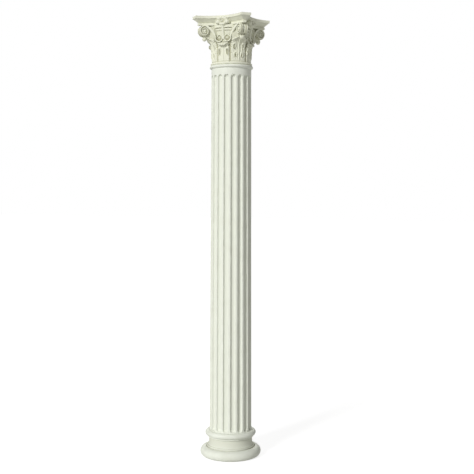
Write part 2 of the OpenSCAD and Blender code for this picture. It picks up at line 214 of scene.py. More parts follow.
class ColumnFinish(bpy.types.PropertyGroup):
    """Colours and texture of the casting, and the colour of its painted shade."""

    shaft_colour: paint("Shaft and base", "#E2E5DA", "Colour of the coat on the shaft and the base")
    capital_colour: paint("Capital", "#E1E2D0", "Colour of the coat on the capital")
    # Painted shade: in hollows and crevices the coat is mixed towards this darker colour, where shade falls.
    painted_shade_colour: paint("Hollows", "#A9A88C", "Colour where dust and coat gather in the hollows")
    mottle_size: length("Mottle", 60, "Width of the faint cloudy patches in the coat")
    grain_size: length("Grain", 3, "Width of the fine pitting of the cast face")
    grain_depth: length("Grain depth", 0.15, "Depth of that pitting")


class ColumnStage(bpy.types.PropertyGroup):
    """Camera, light and floor."""

    camera_away: number("Camera distance", 5.229, "Level distance from the column to the camera, in metres")
    camera_h: number("Camera height", 1.470, "Height of the camera above the floor, in metres")
    camera_turn: angle("Camera turn", 24, "Turn of the camera round the column, from -Y towards +X")
    camera_tip: angle("Camera tip", 2.82, "Tip of the camera below level")
    camera_pan: angle("Camera pan", 0.36, "Pan of the camera to the right of the column")
    camera_roll: angle("Camera roll", 0.15, "Roll of the camera")
    lens: number("Lens", 72.25, "Focal length on a 36 mm sensor, in millimetres")
    key_turn: angle("Key light turn", 34, "Turn of the key light to the left of the camera")
    key_rise: angle("Key light rise", 26, "Rise of the key light above level, seen from the column")
    key_spread: angle("Key light spread", 14, "Angle that the soft key light fills, seen from the column")
    key_light: number("Key light strength", 2.48, "Strength of the key light")
    fill_rise: angle("Fill light rise", 20, "Rise of the fill light, which stands straight behind the column")
    fill_spread: angle("Fill light spread", 30, "Angle that the fill light fills, seen from the column")
    fill_light: number("Fill light strength", 1.1, "Strength of the fill light")
    sky_light: number("Sky light", 0.27, "Strength of the even light from all round")
    floor_glow: number("Floor glow", 0.80, "Share of the floor's white that shadows don't reach")
    floor_side: number("Floor side", 80.0, "Side of the floor, in metres")


# --------------------------------------------------------------- mesh making


def smooth_step(low, high, x):
    """Rises from 0 at low to 1 at high along the cubic 3t^2 - 2t^3."""
    t = np.clip((x - low) / (high - low), 0.0, 1.0)
    return t * t * (3 - 2 * t)


def arc(middle, radius, start, end, steps):
    """Points (across, up) round part of a circle, from one angle in degrees to another."""
    a = np.radians(np.linspace(start, end, steps))
    return np.stack([middle[0] + radius * np.cos(a), middle[1] + radius * np.sin(a)], axis=-1)


def soften(outline, step, radius, closed=False):
    """An outline walked at an even step, each point then the bell-weighted mean of its neighbours.

    The weights fall as exp(-(d / radius)^2), so corners are rounded to about that radius. The two
    ends of an open outline stay where they are.
    """
    if closed:
        outline = np.vstack([outline, outline[:1]])
    walk = np.concatenate([[0.0], np.cumsum(np.linalg.norm(np.diff(outline, axis=0), axis=1))])
    places = max(8, int(round(walk[-1] / step)))
    at = np.linspace(0.0, walk[-1], places, endpoint=not closed)
    even = np.stack([np.interp(at, walk, outline[:, k]) for k in range(outline.shape[1])], axis=-1)
    reach = int(math.ceil(2.5 * radius / step))
    weights = np.exp(-((np.arange(-reach, reach + 1) * step / radius) ** 2))
    weights /= weights.sum()
    padded = np.pad(even, ((reach, reach), (0, 0)), mode="wrap" if closed else "edge")
    soft = np.stack([np.convolve(padded[:, k], weights, mode="valid") for k in range(even.shape[1])], axis=-1)
    if not closed:
        soft[0] = even[0]
        soft[-1] = even[-1]
    return soft


def turned(points, turn):
    """Points turned about the upright axis by an angle in radians."""
    c, s = math.cos(turn), math.sin(turn)
    return points @ np.array([[c, s, 0.0], [-s, c, 0.0], [0.0, 0.0, 1.0]])


def mirrored(points):
    """Points mirrored from +Y to -Y."""
    return points * np.array([1.0, -1.0, 1.0])


class Skin:
    """A closed surface through rings of points: rows x ring x 3, with a hollow value per point.

    The hollow value is painted shade: it runs from 0 on the open faces to 1 deep in the carving,
    and darkens the coat there.
    Neighbouring rings are joined by quads. The first and last ring are each closed by one flat face,
    or by a strip of quads between the two halves of the ring where the ring is a thin bent one.
    """

    def __init__(self, points, hollow=None, strip_caps=False):
        self.points = points
        self.hollow = np.zeros(points.shape[:2]) if hollow is None else hollow
        self.strip_caps = strip_caps

    def moved(self, change):
        """The same skin with its points passed through a function."""
        return Skin(change(self.points), self.hollow, self.strip_caps)

    def faces(self, start):
        """Lists of vertex numbers, from start up, with every face pointing outwards.

        The signed volume under the quads tells whether the rings run the right way round.
        """
        rows, ring = self.points.shape[:2]
        i = np.arange(rows - 1)[:, None] * ring
        j = np.arange(ring)[None, :]
        k = (j + 1) % ring
        quads = np.stack([i + j, i + k, i + ring + k, i + ring + j], axis=-1).reshape(-1, 4)
        p = self.points.reshape(-1, 3)
        p = p - p.mean(axis=0)
        a, b, c, d = (p[quads[:, n]] for n in range(4))
        volume = np.einsum("ij,ij->i", a, np.cross(b, c) + np.cross(c, d)).sum()
        last = (rows - 1) * ring
        if self.strip_caps:
            n = np.arange(ring // 2 - 1)
            low = np.stack([n + 1, n, ring - 1 - n, ring - 2 - n], axis=-1)
            caps = low.tolist() + (low[:, ::-1] + last).tolist()
        else:
            caps = [list(range(ring - 1, -1, -1)), list(range(last, last + ring))]
        out = quads.tolist() + caps
        if volume < 0:
            out = [face[::-1] for face in out]
        return [[v + start for v in face] for face in out]


def make_piece(name, skins, material, node, sharp_deg=38.0):
    """One object from closed skins, with its place in its mesh. It rides on the column."""
    points, faces, hollow = [], [], []
    start = 0
    for skin in skins:
        faces += skin.faces(start)
        points.append(skin.points.reshape(-1, 3))
        hollow.append(skin.hollow.reshape(-1))
        start += len(points[-1])
    mesh = bpy.data.meshes.new(name)
    mesh.from_pydata(np.vstack(points).tolist(), [], faces)
    # The hollow attribute carries painted shade for the coat.
    layer = mesh.attributes.new("hollow", "FLOAT", "POINT")
    layer.data.foreach_set("value", np.concatenate(hollow).astype(np.float32))
    mesh.shade_smooth()
    mesh.set_sharp_from_angle(angle=math.radians(sharp_deg))
    mesh.materials.append(material)
    mesh.update()
    piece = bpy.data.objects.new(name, mesh)
    bpy.context.scene.collection.objects.link(piece)
    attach(piece, "root")
    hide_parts(node)
    return piece


def lathe(profile, hollow, around):
    """An outline (reach, height) turned round the upright axis: (r cos a, r sin a, z).

    The outline has one hollow value, of painted shade, per point.
    """
    a = np.linspace(0, 2 * math.pi, around, endpoint=False)[None, :]
    r = profile[:, :1]
    z = np.broadcast_to(profile[:, 1:], (len(profile), around))
    points = np.stack([r * np.cos(a), r * np.sin(a), z], axis=-1)
    return Skin(points, np.repeat(hollow[:, None], around, axis=1))


def four_times(skins, first=0.0):
    """Copies of the skins in four places a quarter turn apart, from the angle first on."""
    return [skin.moved(lambda p, k=k: turned(p, first + k * QUARTER)) for k in range(4) for skin in skins]


# ------------------------------------------------------------------ material


def linear(hex_value):
    """Linear colour with alpha from an sRGB hex value."""
    srgb = [int(hex_value[i:i + 2], 16) / 255 for i in (1, 3, 5)]
    return [c / 12.92 if c <= 0.04045 else ((c + 0.055) / 1.055) ** 2.4 for c in srgb] + [1.0]


def add_node(tree, kind, settings=None, inputs=None):
    """Adds a node. Settings are attributes; an input is a value or a (node, output) pair to link."""
    node = tree.nodes.new(kind)
    for key, value in (settings or {}).items():
        setattr(node, key, value)
    for key, value in (inputs or {}).items():
        if isinstance(value, tuple) and isinstance(value[0], bpy.types.Node):
            tree.links.new(value[0].outputs[value[1]], node.inputs[key])
        else:
            node.inputs[key].default_value = value
    return node


def new_material(name):
    """An empty node material and its output node."""
    material = bpy.data.materials.new(name)
    material.use_nodes = True
    material.node_tree.nodes.clear()
    return material, add_node(material.node_tree, "ShaderNodeOutputMaterial")


def cast_gypsum(name, colour, finish):
    """Glass-fibre gypsum, cast in a mould and given a thin matt coat.

    The eye gets an even off-white with faint cloudy patches, fine pits from the mould, and a
    yellower, darker tone in the hollows, which is painted shade.
    """
    material, output = new_material(name)
    tree = material.node_tree
    place = add_node(tree, "ShaderNodeTexCoord")
    cloud = add_node(tree, "ShaderNodeTexNoise", {"noise_dimensions": "3D"},
                     {"Vector": (place, "Object"), "Scale": 1 / finish.mottle_size, "Detail": 4.0,
                      "Roughness": 0.6})
    pits = add_node(tree, "ShaderNodeTexNoise", {"noise_dimensions": "3D"},
                    {"Vector": (place, "Object"), "Scale": 1 / finish.grain_size, "Detail": 3.0,
                     "Roughness": 0.7})
    # The hollow attribute is painted shade, high in the recesses and crevices.
    hollow = add_node(tree, "ShaderNodeAttribute", {"attribute_name": "hollow", "attribute_type": "GEOMETRY"})
    patch = add_node(tree, "ShaderNodeMapRange", {},
                     {"Value": (cloud, "Fac"), "From Min": 0.35, "From Max": 0.75, "To Min": 0.0,
                      "To Max": 0.16})
    # Painted shade from the hollow attribute and the coat's own cloudy patches both darken the coat.
    painted_shade_and_mottle = add_node(tree, "ShaderNodeMath", {"operation": "MAXIMUM"},
                        {0: (hollow, "Fac"), 1: (patch, "Result")})
    coat = add_node(tree, "ShaderNodeMix", {"data_type": "RGBA"},
                    {"Factor": (painted_shade_and_mottle, "Value"), 6: linear(colour), 7: linear(finish.painted_shade_colour)})
    gloss = add_node(tree, "ShaderNodeMapRange", {},
                     {"Value": (cloud, "Fac"), "From Min": 0.3, "From Max": 0.7, "To Min": 0.62,
                      "To Max": 0.78})
    bump = add_node(tree, "ShaderNodeBump", {},
                    {"Height": (pits, "Fac"), "Strength": 0.6, "Distance": finish.grain_depth})
    shader = add_node(tree, "ShaderNodeBsdfPrincipled", {},
                      {"Base Color": (coat, "Result"), "Roughness": (gloss, "Result"),
                       "Normal": (bump, "Normal"), "IOR": 1.5, "Specular IOR Level": 0.35})
    tree.links.new(shader.outputs["BSDF"], output.inputs["Surface"])
    return material


def shaft_coat(context):
    """The coat of the shaft and the base, made on first use."""
    finish = context.scene.column_finish
    name = "cast_gypsum_shaft"
    return bpy.data.materials.get(name) or cast_gypsum(name, finish.shaft_colour, finish)


def capital_coat(context):
    """The coat of the capital, made on first use."""
    finish = context.scene.column_finish
    name = "cast_gypsum_capital"
    return bpy.data.materials.get(name) or cast_gypsum(name, finish.capital_colour, finish)


# ------------------------------------------------------------------ the base


def base_profile(b):
    """Outline (reach, height) of the base from its underside to its seat.

    Rolls are half rounds. A small groove parts the bottom roll from the low band, and a small rim
    ends the band. The hollow is a quarter ellipse, whose reach falls by sin(a) as its height rises
    by 1 - cos(a), and a shorter quarter round back out.
    """
    low_z = FLOOR_Z + b.foot_roll_h
    hollow_z = low_z + b.low_band_h
    top_z = SHAFT_Z - b.top_roll_h
    high_z = top_z - b.high_band_h
    foot_r = b.foot_roll_h / 2
    top_r = b.top_roll_h / 2
    a = np.linspace(0, QUARTER, 24)
    back_r = b.high_band_r - b.hollow_r
    lower_h = high_z - hollow_z - back_r
    inner_r = b.low_band_r - b.rim_w
    lower = np.stack([inner_r - (inner_r - b.hollow_r) * np.sin(a),
                      hollow_z + lower_h * (1 - np.cos(a))], axis=-1)
    upper = np.stack([b.hollow_r + back_r * (1 - np.cos(a)), high_z - back_r + back_r * np.sin(a)], axis=-1)
    return np.vstack([
        [[PIN_R, FLOOR_Z]],
        arc((FOOT_REACH - foot_r, FLOOR_Z + foot_r), foot_r, -90, 90, 48),
        [[b.low_band_r + b.quirk_w, low_z], [b.low_band_r + b.quirk_w, low_z - b.quirk_h],
         [b.low_band_r, low_z - b.quirk_h], [b.low_band_r, hollow_z + b.rim_h],
         [inner_r, hollow_z + b.rim_h]],
        lower, upper,
        [[b.high_band_r, high_z], [b.high_band_r, top_z]],
        arc((b.top_roll_r - top_r, top_z + top_r), top_r, -90, 90, 40),
        [[PIN_R, SHAFT_Z]]])


def base_painted_shade(b, profile):
    """Painted shade at each point of the outline, from 0 to 1, by how deep it lies in the moulding.

    It falls off as exp(-(distance / width)^2) from the groove and from behind the rim, and it is
    also deep where the foot meets the floor, as a painted contact shadow.
    """
    reach, z = profile[:, 0], profile[:, 1]
    low_z = FLOOR_Z + b.foot_roll_h
    in_hollow = (z >= low_z) & (z <= SHAFT_Z - b.top_roll_h)
    wall = 0.30 * (1 - smooth_step(0.0, 10 * MM, reach - b.hollow_r)) * in_hollow
    groove_away = np.hypot(reach - b.low_band_r - b.quirk_w / 2, z - low_z + b.quirk_h)
    rim_away = np.hypot(reach - b.low_band_r + 1.5 * b.rim_w, z - low_z - b.low_band_h)
    groove = 0.9 * np.exp(-(groove_away / b.quirk_w) ** 2)
    rim = 0.8 * np.exp(-(rim_away / b.rim_w) ** 2)
    # Painted contact shadow along the foot where it meets the floor.
    foot = 0.9 * (1 - smooth_step(FLOOR_Z, FLOOR_Z + 8 * MM, z))
    return np.maximum.reduce([wall, groove, rim, foot])


class COLUMN_OT_base(bpy.types.Operator):
    """Turn the round base from its outline."""

    bl_idname = "column.base"
    bl_label = "Base"

    def execute(self, context):
        b = context.scene.column_base
        profile = soften(base_profile(b), 1.4 * MM, b.soft_r)
        profile[:, 1] = np.clip(profile[:, 1], FLOOR_Z, SHAFT_Z)
        skin = lathe(profile, base_painted_shade(b, profile), 256)
        make_piece("base_casting", [skin], shaft_coat(context), "base")
        return {"FINISHED"}


# ----------------------------------------------------------------- the shaft


def shaft_rows(s):
    """Heights, radii and flute half widths of the rings of the shaft, from its foot to its top.

    Along the round ends of the flutes the rings stand at z = end + w sin(t), where the half width
    is w cos(t), so that the rings follow the half circle.
    """
    neck_top = CAPITAL_Z - s.collar_h
    foot_w, top_w = s.flute_w_foot / 2, s.flute_w_top / 2
    foot_z = SHAFT_Z + s.foot_gap + foot_w
    top_z = neck_top - s.neck_h - top_w
    t = np.linspace(0, QUARTER, 16)
    foot_end = np.stack([foot_z - foot_w * np.cos(t), foot_w * np.sin(t)], axis=-1)
    top_end = np.stack([top_z + top_w * np.sin(t), top_w * np.cos(t)], axis=-1)
    middle_z = np.linspace(foot_z, top_z, 26)[1:-1]
    middle = np.stack([middle_z, np.interp(middle_z, [foot_z, top_z], [foot_w, top_w])], axis=-1)
    neck = [[z, 0.0] for z in np.linspace(top_z + top_w, neck_top, 7)[1:]]
    rows = np.vstack([[[SHAFT_Z, 0.0]], foot_end, middle, top_end, neck])
    radius = np.interp(rows[:, 0], [SHAFT_Z, neck_top], [s.foot_r, s.neck_r])
    roll = s.collar_h / 2
    collar = arc((s.collar_r - roll, neck_top + roll), roll, -90, 90, 26)
    rows = np.vstack([rows, np.stack([collar[:, 1], np.zeros(len(collar))], axis=-1)])
    return rows[:, 0], np.concatenate([radius, collar[:, 0]]), rows[:, 1]


def shaft_skin(s):
    """The shaft as rings of points at angle a and reach r - d.

    Across a flute u runs as sin(t) from -1 to 1, the angle is its middle plus u w / r, and the depth
    is d = D (w / W) (1 - |u|^2.8)^(1 / 2.8), a rounded trough with steep sides and a flatter bed.
    The plain strips between the flutes fill the rest of the circle, and their edges drop a little.
    """
    z, radius, half_w = shaft_rows(s)
    full_w = np.interp(z, [z[0], z[-1]], [s.flute_w_foot / 2, s.flute_w_top / 2])
    t = np.linspace(-QUARTER, QUARTER, 25)
    u = np.sin(t)
    strip = np.linspace(0, 1, 8)[1:-1]
    pitch = 2 * math.pi / s.flutes
    edge = (half_w / radius)[:, None]
    flute_a = u[None, :] * edge
    strip_a = edge + strip[None, :] * (pitch - 2 * edge)
    share = (half_w / full_w)[:, None]
    trough = (1 - np.abs(u) ** 2.8).clip(0) ** (1 / 2.8)
    worn = s.edge_drop * smooth_step(0.0, 0.35, share)
    flute_d = np.maximum(s.flute_depth * share * trough[None, :], worn * np.abs(u)[None, :] ** 10)
    from_edge = np.minimum(strip_a - edge, pitch - edge - strip_a) * radius[:, None]
    strip_d = worn * np.exp(-from_edge / s.edge_r)
    one_a = np.hstack([flute_a, strip_a])
    one_d = np.hstack([flute_d, strip_d])
    starts = -QUARTER + (np.arange(s.flutes) + 0.5) * pitch
    a = (starts[None, :, None] + one_a[:, None, :]).reshape(len(z), -1)
    d = np.broadcast_to(one_d[:, None, :], (len(z), s.flutes, one_d.shape[1])).reshape(len(z), -1)
    r = radius[:, None] - d
    points = np.stack([r * np.cos(a), r * np.sin(a), np.broadcast_to(z[:, None], r.shape)], axis=-1)
    # Painted shade in the flutes, darker where they are deeper.
    return Skin(points, 0.10 * d / s.flute_depth)


class COLUMN_OT_shaft(bpy.types.Operator):
    """Make the tapered, fluted shaft with its neck and its collar."""

    bl_idname = "column.shaft"
    bl_label = "Shaft"

    def execute(self, context):
        make_piece("shaft_casting", [shaft_skin(context.scene.column_shaft)], shaft_coat(context), "shaft",
                   sharp_deg=50.0)
        return {"FINISHED"}


# ------------------------------------------------------------------ the bell


def slab_foot(context):
    """Height of the underside of the top slab."""
    return TOP_Z - context.scene.column_slab.height


def bell_radius(c, slab_z, z):
    """Radius of the bell at height z: a drum, then a flare that grows as the 1.6th power."""
    flare_z = CAPITAL_Z + c.ring_h + c.flare_h
    roll_z = slab_z - c.lip_h - c.lip_roll_h
    behind_roll = 4 * MM
    flare_r = c.lip_r - c.lip_roll_in - behind_roll
    rise = np.clip((z - flare_z) / (roll_z - flare_z), 0.0, 1.0)
    return c.bell_r + (flare_r - c.bell_r) * rise ** 1.6


def bell_profile(c, slab_z):
    """Outline (reach, height) of the ring, the wall, the roll and the lip, up into the slab."""
    lip_z = slab_z - c.lip_h
    roll_z = lip_z - c.lip_roll_h
    ring = c.ring_h / 2
    roll = c.lip_roll_h / 2
    wall_z = np.linspace(CAPITAL_Z + c.ring_h, roll_z, 40)
    return np.vstack([
        [[PIN_R, CAPITAL_Z]],
        arc((c.ring_r - ring, CAPITAL_Z + ring), ring, -90, 90, 14),
        np.stack([bell_radius(c, slab_z, wall_z), wall_z], axis=-1),
        arc((c.lip_r - c.lip_roll_in - roll, roll_z + roll), roll, -90, 90, 14),
        [[c.lip_r, lip_z + MM], [c.lip_r, slab_z + MM], [PIN_R, slab_z + MM]]])


def bell_painted_shade(c, slab_z, profile):
    """Painted shade at each point of the outline. The whole wall lies behind the leaves and scrolls,
    so all of it is painted as shaded.

    The shade is deepest between the leaves and in the grooves over and under the roll.
    """
    reach, z = profile[:, 0], profile[:, 1]
    ring_z = CAPITAL_Z + c.ring_h
    lip_z = slab_z - c.lip_h
    in_wall = smooth_step(0.0, 12 * MM, c.lip_r - reach - 4 * MM)
    shade_between_leaves = 0.35 * (1 - smooth_step(0.0, 10 * MM, z - ring_z - c.side_h))
    hollow = (0.65 + shade_between_leaves) * in_wall * (z > ring_z)
    for groove_z in (lip_z - c.lip_roll_h, lip_z):
        groove = 0.7 * np.exp(-((z - groove_z) / (2 * MM)) ** 2)
        hollow = np.maximum(hollow, groove * (reach > c.bell_r))
    return hollow


class COLUMN_OT_bell(bpy.types.Operator):
    """Turn the bell with the ring at its foot and the rolls of its lip."""

    bl_idname = "column.bell"
    bl_label = "Bell"

    def execute(self, context):
        c = context.scene.column_capital
        slab_z = slab_foot(context)
        profile = soften(bell_profile(c, slab_z), 2.2 * MM, 1.2 * MM)
        profile[:, 1] = profile[:, 1].clip(CAPITAL_Z)
        skin = lathe(profile, bell_painted_shade(c, slab_z, profile), 192)
        make_piece("capital_bell", [skin], capital_coat(context), "capital")
        return {"FINISHED"}


# ---------------------------------------------------------------- the leaves


def leaf_spine(c, top, reach, lean, curl_r):
    """The middle line of a leaf as a function of the length walked along it.

    It is a straight rise, a wide arc that leans out by the angle lean, and a tight arc that rolls
    the tip over. Returns the function and the whole length; the function gives reach, height and
    lean.
    """
    tight_r = curl_r - c.leaf_t
    wide_r = (reach - curl_r - c.leaf_face_r - tight_r * math.cos(lean)) / (1 - math.cos(lean))
    foot_z = CAPITAL_Z + c.ring_h - 2 * MM
    bend_z = CAPITAL_Z + top - curl_r - (wide_r - tight_r) * math.sin(lean)
    curl_x = c.leaf_face_r + wide_r * (1 - math.cos(lean)) + tight_r * math.cos(lean)
    curl_z = bend_z + (wide_r - tight_r) * math.sin(lean)
    last = math.radians(215)
    rise = bend_z - foot_z
    whole = rise + wide_r * lean + tight_r * (last - lean)

    def at(s):
        wide_a = np.clip((s - rise) / wide_r, 0.0, lean)
        tight_a = lean + np.clip((s - rise - wide_r * lean) / tight_r, 0.0, None)
        straight = s < rise
        leaning = s < rise + wide_r * lean
        r = np.where(leaning, c.leaf_face_r + wide_r * (1 - np.cos(wide_a)),
                     curl_x - tight_r * np.cos(tight_a))
        z = np.where(leaning, bend_z + wide_r * np.sin(wide_a), curl_z + tight_r * np.sin(tight_a))
        a = np.where(leaning, wide_a, tight_a)
        return (np.where(straight, c.leaf_face_r, r), np.where(straight, foot_z + s, z),
                np.where(straight, 0.0, a))

    return at, whole


# An eye is a drop-shaped hollow beside the midrib: how far off it, how far up the leaf, and its
# half width and half height, all in millimetres
Eye = namedtuple("Eye", "off up half_w half_h")
# Height and reach of the tip, lean and radius of the roll, half angle of the foot, half width of the
# tip, the two shares of the way up between which the leaf narrows, and its carving, with the ribs'
# height and the eyes' depth in millimetres
LeafForm = namedtuple("LeafForm", "top reach lean curl_r half_angle tip_w narrow lobes rib_h eyes eye_depth")


def side_leaf_form(c):
    """The broad, low leaf under a flower: one tall eye on each side of its midrib."""
    return LeafForm(top=c.ring_h + c.side_h, reach=c.side_reach, lean=c.side_lean, curl_r=c.side_curl_r,
                    half_angle=c.side_angle, tip_w=c.side_tip_w, narrow=(0.5, 1.0), lobes=4, rib_h=0.5,
                    eyes=[Eye(23, 51, 3.6, 13)], eye_depth=8.0)


def corner_leaf_form(c):
    """The taller leaf under a corner: two eyes on each side and stronger ribs, narrow at its tip."""
    return LeafForm(top=c.ring_h + c.corner_h, reach=c.corner_reach, lean=c.corner_lean,
                    curl_r=c.corner_curl_r, half_angle=QUARTER / 2 - c.side_angle, tip_w=c.corner_tip_w,
                    narrow=(0.66, 0.88), lobes=5, rib_h=1.5,
                    eyes=[Eye(18, 34, 3.2, 10), Eye(25, 78, 3.6, 12)], eye_depth=4.5)


def carve_eyes(leaf, relief, x, s):
    """The relief with every eye cut into it: it is flattened there, ringed and sunk.

    Along and across an eye are measured in its half height and half width, which grows by 0.3 for
    each half height upwards. At the distance d = sqrt(along^2 + across^2) the ring stands as
    exp(-((d - 1.7) / 0.38)^2), open at its foot, and the middle sinks as exp(-(d / 1.1)^4).
    """
    ring_h = 5.6
    for eye in leaf.eyes:
        along = (s / MM - eye.up) / eye.half_h
        across = (np.abs(x) / MM - eye.off) / (eye.half_w * (1.0 + 0.3 * np.clip(along, -1.4, 1.4)))
        away = np.sqrt(along ** 2 + across ** 2)
        ring = np.exp(-((away - 1.7) / 0.38) ** 2) * smooth_step(-1.5, -0.4, along)
        middle = np.exp(-(away / 1.1) ** 4)
        relief = relief * (1 - np.clip(middle + ring, 0, 1)) + ring_h * ring - leaf.eye_depth * middle
    return relief


def front_and_back(front, back):
    """One ring per row: the front from rim to rim, and the back the other way round."""
    return np.concatenate([front, back[:, ::-1]], axis=1)


def leaf_skin(c, leaf):
    """One carved leaf, wrapped round the bell.

    Rows v run from the foot to the tip, and u across from -1 to 1. A row bends up towards the rim
    by a share of |u|^1.5, so that rows follow the veins. The half width eases from foot to tip
    between the two shares in narrow, and swings once per leaflet and more deeply once per lobe,
    which is three leaflets. The relief, worked out in millimetres, is the sum of a midrib, upright
    ribs 9.5 mm apart, and leaflets and lobes that swell towards the rim, which drops away. The back
    of the rolled tip, which faces outwards, has the leaflets, the lobes and soft folds 15 mm apart.
    """
    across, up = 85, 128
    u = np.linspace(-1, 1, across)[None, :]
    v = np.linspace(0, 1, up)[:, None]
    side = np.abs(u)
    spine, whole = leaf_spine(c, leaf.top, leaf.reach, leaf.lean, leaf.curl_r)
    sweep = 0.12 * side ** 1.5 * smooth_step(0.0, 0.2, v) * (1 - v)
    s = whole * (v * (1 - 0.05 * side ** 2 * smooth_step(0.6, 1.0, v)) + sweep)
    r, z, tilt = spine(s)

    # In a leaflet or lobe this runs from -1 to 1
    leaflet = 2 * np.mod(3 * leaf.lobes * v, 1.0) - 1
    lobe = 2 * np.mod(leaf.lobes * v, 1.0) - 1
    grown = smooth_step(0.02, 0.14, v)
    free = smooth_step(0.30, 0.70, v)
    foot_w = leaf.half_angle * c.leaf_face_r - c.leaf_gap / 2
    notch = grown * (0.5 + 0.5 * free) * (0.06 * np.abs(leaflet) ** 2.5 + 0.13 * np.abs(lobe) ** 6)
    x = u * (foot_w + (leaf.tip_w - foot_w) * smooth_step(*leaf.narrow, v)) * (1 - notch)

    swell = smooth_step(0.45, 0.80, side) * grown * (0.4 + 0.6 * free)
    leaflets = 1.8 * (1 - leaflet ** 2) * swell
    lobed = 2.4 * (1 - lobe ** 2) * swell
    rib = leaf.rib_h * np.cos(2 * math.pi * x / (9.5 * MM)) * (1 - smooth_step(0.60, 0.85, side)) * grown
    midrib = 2.6 * np.exp(-(x / (3.6 * MM)) ** 2)
    rim = -5.5 * smooth_step(0.86, 1.0, side)
    fade = 1 - 0.5 * smooth_step(0.75, 1.0, v)
    relief = carve_eyes(leaf, rib + midrib + leaflets + lobed, x, s)
    relief = ((relief + rim) * fade - 1.2) * MM
    # Painted shade: the coat darkens in the sunk parts of the carving and along a line at the leaf's foot.
    foot_painted_shade = 0.6 * np.exp(-((s - 4 * MM) / (2 * MM)) ** 2)
    front_painted_shade = np.maximum(smooth_step(0.5 * MM, 6 * MM, -relief), foot_painted_shade)

    rolled = smooth_step(0.5, 1.2, tilt)
    folds = 1.2 * (1 + np.cos(2 * math.pi * x / (15 * MM)))
    outer = (0.8 * leaflets + folds + 0.4 * lobed) * fade * rolled * MM
    # Painted shade in the folds on the back of the rolled tip.
    back_painted_shade = 0.3 * (1 - smooth_step(0.0, 2 * MM, outer)) * rolled

    height = front_and_back(relief, -c.leaf_t - outer)
    r, z, tilt, x = (front_and_back(part, part) for part in (r, z, tilt, x))
    reach = r + height * np.cos(tilt)
    a = x / np.maximum(r, c.leaf_face_r)
    points = np.stack([reach * np.cos(a), reach * np.sin(a), z - height * np.sin(tilt)], axis=-1)
    return Skin(points, front_and_back(front_painted_shade, back_painted_shade), strip_caps=True)


def leaf_bead(c):
    """The small ball that fills the rolled tip of a corner leaf."""
    middle = np.array([c.corner_reach - c.corner_curl_r + 2 * MM, 0.0,
                       CAPITAL_Z + c.ring_h + c.corner_h - c.corner_curl_r - MM])
    return Skin(ball(middle, SIDEWAYS, c.corner_curl_r - 0.5 * MM, c.corner_tip_w))


class COLUMN_OT_leaves(bpy.types.Operator):
    """Carve the four side leaves and the four taller corner leaves."""

    bl_idname = "column.leaves"
    bl_label = "Leaves"

    def execute(self, context):
        c = context.scene.column_capital
        coat = capital_coat(context)
        side = four_times([leaf_skin(c, side_leaf_form(c))])
        corner = four_times([leaf_skin(c, corner_leaf_form(c)), leaf_bead(c)], QUARTER / 2)
        make_piece("side_leaf_set", side, coat, "capital")
        make_piece("corner_leaf_set", corner, coat, "capital")
        return {"FINISHED"}


# --------------------------------------------------------------- the scrolls


def spiral(eye, level, radius, a):
    """Points at angles a on a spiral about eye that opens along the level direction."""
    return eye + (radius * np.cos(a))[:, None] * level + (radius * np.sin(a))[:, None] * UP


def bend(p, q, w, s, t):
    """Points on the cubic curve that leaves p towards q and arrives at s from w."""
    t = t[:, None]
    return (1 - t) ** 3 * p + 3 * t * (1 - t) ** 2 * q + 3 * t ** 2 * (1 - t) * w + t ** 3 * s


ScrollPlaces = namedtuple("ScrollPlaces", "volute_eye inward outward helix_eye")


def scroll_places(c, slab_z):
    """Eyes of the two scrolls on half of the side facing +X, and the corner scroll's directions.

    Its spirals open along inward, which is level, and its width runs along outward.
    """
    turn = c.volute_turn_in
    diagonal = np.array([math.cos(QUARTER / 2), math.sin(QUARTER / 2), 0.0])
    aside = np.array([diagonal[0], -diagonal[1], 0.0])
    inward = np.array([math.cos(QUARTER / 2 + turn), math.sin(QUARTER / 2 + turn), 0.0])
    outward = np.array([math.cos(turn - QUARTER / 2), math.sin(turn - QUARTER / 2), 0.0])
    volute_eye = ((c.volute_reach - c.volute_r) * diagonal + (c.strap_w + c.volute_groove) / 2 * aside
                  + (slab_z + c.volute_sink - c.volute_r) * UP)
    helix_z = slab_z - c.helix_drop
    helix_face = bell_radius(c, slab_z, helix_z) + c.helix_out
    helix_eye = np.array([helix_face - c.strap_w / 2, c.helix_off, helix_z])
    return ScrollPlaces(volute_eye, inward, outward, helix_eye)


def strap_section(rows, front, back, thick):
    """Where the points of each ring of the strap lie: across it and up from its middle.

    Front and back are its reaches to both sides of the path, row by row, and thick its thickness.
    The flat strap has a channel 0.30 of its half thickness deep between two raised edges. Returns
    both distances and the channel's share, point by point.
    """
    points = 15
    # Across the strap b runs from 1 at the front edge to -1 at the back, and back on the underside
    b = np.concatenate([np.linspace(1, -1, points), np.linspace(-1, 1, points)])
    face = np.concatenate([np.ones(points), -np.ones(points)])
    edge = np.abs(b)
    channel = 0.30 * (1 - smooth_step(0.45, 0.70, edge))
    rise = face * (0.5 - 0.5 * channel - 0.12 * smooth_step(0.85, 1.0, edge))
    across = np.where(b > 0, b[None, :] * front[:, None], b[None, :] * back[:, None])
    return across, rise[None, :] * thick[:, None], np.broadcast_to(channel[None, :], (rows, 2 * points))


